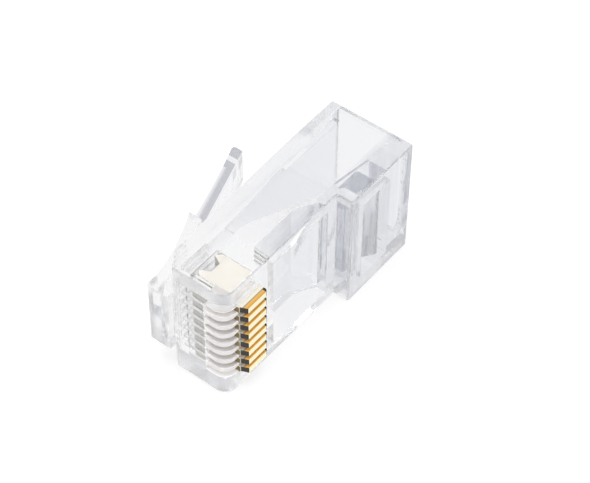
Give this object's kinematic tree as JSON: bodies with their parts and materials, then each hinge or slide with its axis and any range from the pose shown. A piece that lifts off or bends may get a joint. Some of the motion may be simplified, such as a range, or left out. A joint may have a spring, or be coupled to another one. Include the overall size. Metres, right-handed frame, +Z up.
{
  "type": "modular plug",
  "caption": "Clear modular plug for network cable: stepped housing open at the cable end, sprung latch, clamp bar and a row of gold-edged blade contacts.",
  "frame": {"origin": "centre of the flat side wall that the plug lies on, midway between nose and cable end", "axes": "-Y towards the nose, +X towards the contacts, -X towards the latch, +Z up across the width"},
  "size_m": [0.0135, 0.0221, 0.0117],
  "materials": {
    "clear_plastic": "polished clear moulding",
    "contact_gold": "bright gold plating"
  },
  "bodies": {
    "housing": {"housing": "clear_plastic"},
    "latch": {"latch_lever": "clear_plastic"},
    "clamp": {"clamp_bar": "clear_plastic"},
    "contact_1": {"contact_1": "contact_gold"},
    "contact_2": {"contact_2": "contact_gold"},
    "contact_3": {"contact_3": "contact_gold"},
    "contact_4": {"contact_4": "contact_gold"},
    "contact_5": {"contact_5": "contact_gold"},
    "contact_6": {"contact_6": "contact_gold"},
    "contact_7": {"contact_7": "contact_gold"},
    "contact_8": {"contact_8": "contact_gold"}
  },
  "joints": [
    {"name": "latch_flex", "type": "hinge", "parent": "housing", "child": "latch", "pos_m": [-0.00415, -0.01018, 0.00584], "axis": [0, 0, -1], "range_deg": [0, 12], "stiffness_Nm_per_rad": 0.004},
    {"name": "clamp_swing", "type": "hinge", "parent": "housing", "child": "clamp", "pos_m": [0.00175, 0.00431, 0.00584], "axis": [0, 0, 1], "range_deg": [0, 35]},
    {"name": "contact_1_crimp", "type": "slide", "parent": "housing", "child": "contact_1", "axis": [-1, 0, 0], "range_m": [0, 0.0012]},
    {"name": "contact_2_crimp", "type": "slide", "parent": "housing", "child": "contact_2", "axis": [-1, 0, 0], "range_m": [0, 0.0012]},
    {"name": "contact_3_crimp", "type": "slide", "parent": "housing", "child": "contact_3", "axis": [-1, 0, 0], "range_m": [0, 0.0012]},
    {"name": "contact_4_crimp", "type": "slide", "parent": "housing", "child": "contact_4", "axis": [-1, 0, 0], "range_m": [0, 0.0012]},
    {"name": "contact_5_crimp", "type": "slide", "parent": "housing", "child": "contact_5", "axis": [-1, 0, 0], "range_m": [0, 0.0012]},
    {"name": "contact_6_crimp", "type": "slide", "parent": "housing", "child": "contact_6", "axis": [-1, 0, 0], "range_m": [0, 0.0012]},
    {"name": "contact_7_crimp", "type": "slide", "parent": "housing", "child": "contact_7", "axis": [-1, 0, 0], "range_m": [0, 0.0012]},
    {"name": "contact_8_crimp", "type": "slide", "parent": "housing", "child": "contact_8", "axis": [-1, 0, 0], "range_m": [0, 0.0012]}
  ]
}
